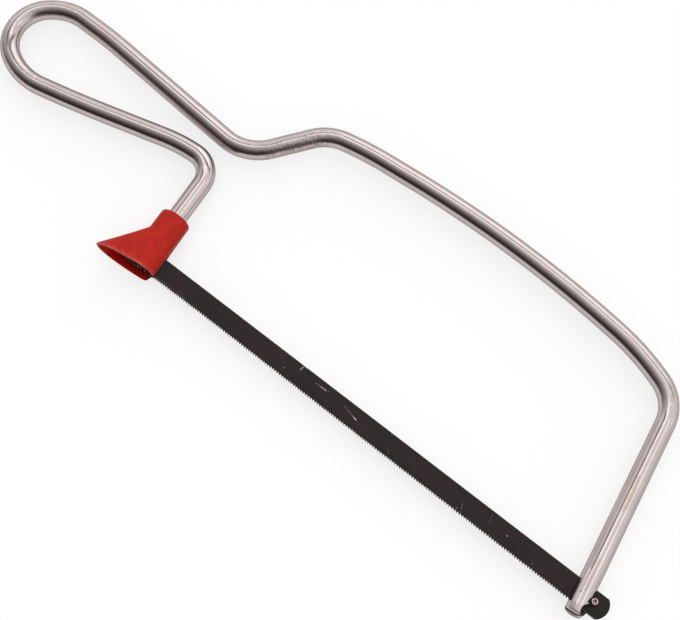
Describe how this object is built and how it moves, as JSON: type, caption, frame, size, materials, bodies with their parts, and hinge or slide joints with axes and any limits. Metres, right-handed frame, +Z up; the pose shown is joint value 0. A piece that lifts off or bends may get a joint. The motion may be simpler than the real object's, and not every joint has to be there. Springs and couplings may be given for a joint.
{
  "type": "mini hacksaw",
  "caption": "Mini hacksaw: plated steel rod bent into a bowed frame with a looped handle, a black pin-ended fine-tooth blade that swings out, and a red flared finger guard that slides.",
  "frame": {"origin": "middle of the footprint, on the surface that the saw lies on", "axes": "+X forward along the blade to the toe, +Y from the teeth towards the spine, +Z up out of the saw's plane"},
  "size_m": [0.2282, 0.0722, 0.0094],
  "materials": {
    "plated_rod": "bright plated drawn rod with fine lengthwise draw marks",
    "black_blade": "satin black finish with a few bright scratches",
    "pin_steel": "bright rolled steel",
    "red_plastic": "soft satin moulding with a faint mottle"
  },
  "bodies": {
    "frame": {"bent_rod_frame": "plated_rod"},
    "blade": {"saw_blade": "black_blade", "front_blade_pin": "pin_steel", "rear_blade_pin": "pin_steel"},
    "guard": {"finger_guard": "red_plastic"}
  },
  "joints": [
    {"name": "blade_swing", "type": "hinge", "parent": "frame", "child": "blade", "pos_m": [0.10999, -0.03039, 0.00469], "axis": [0, 0, 1], "range_deg": [0, 90]},
    {"name": "guard_slide", "type": "slide", "parent": "frame", "child": "guard", "axis": [-0.108, 0.9942, 0], "range_m": [0, 0.011]}
  ]
}
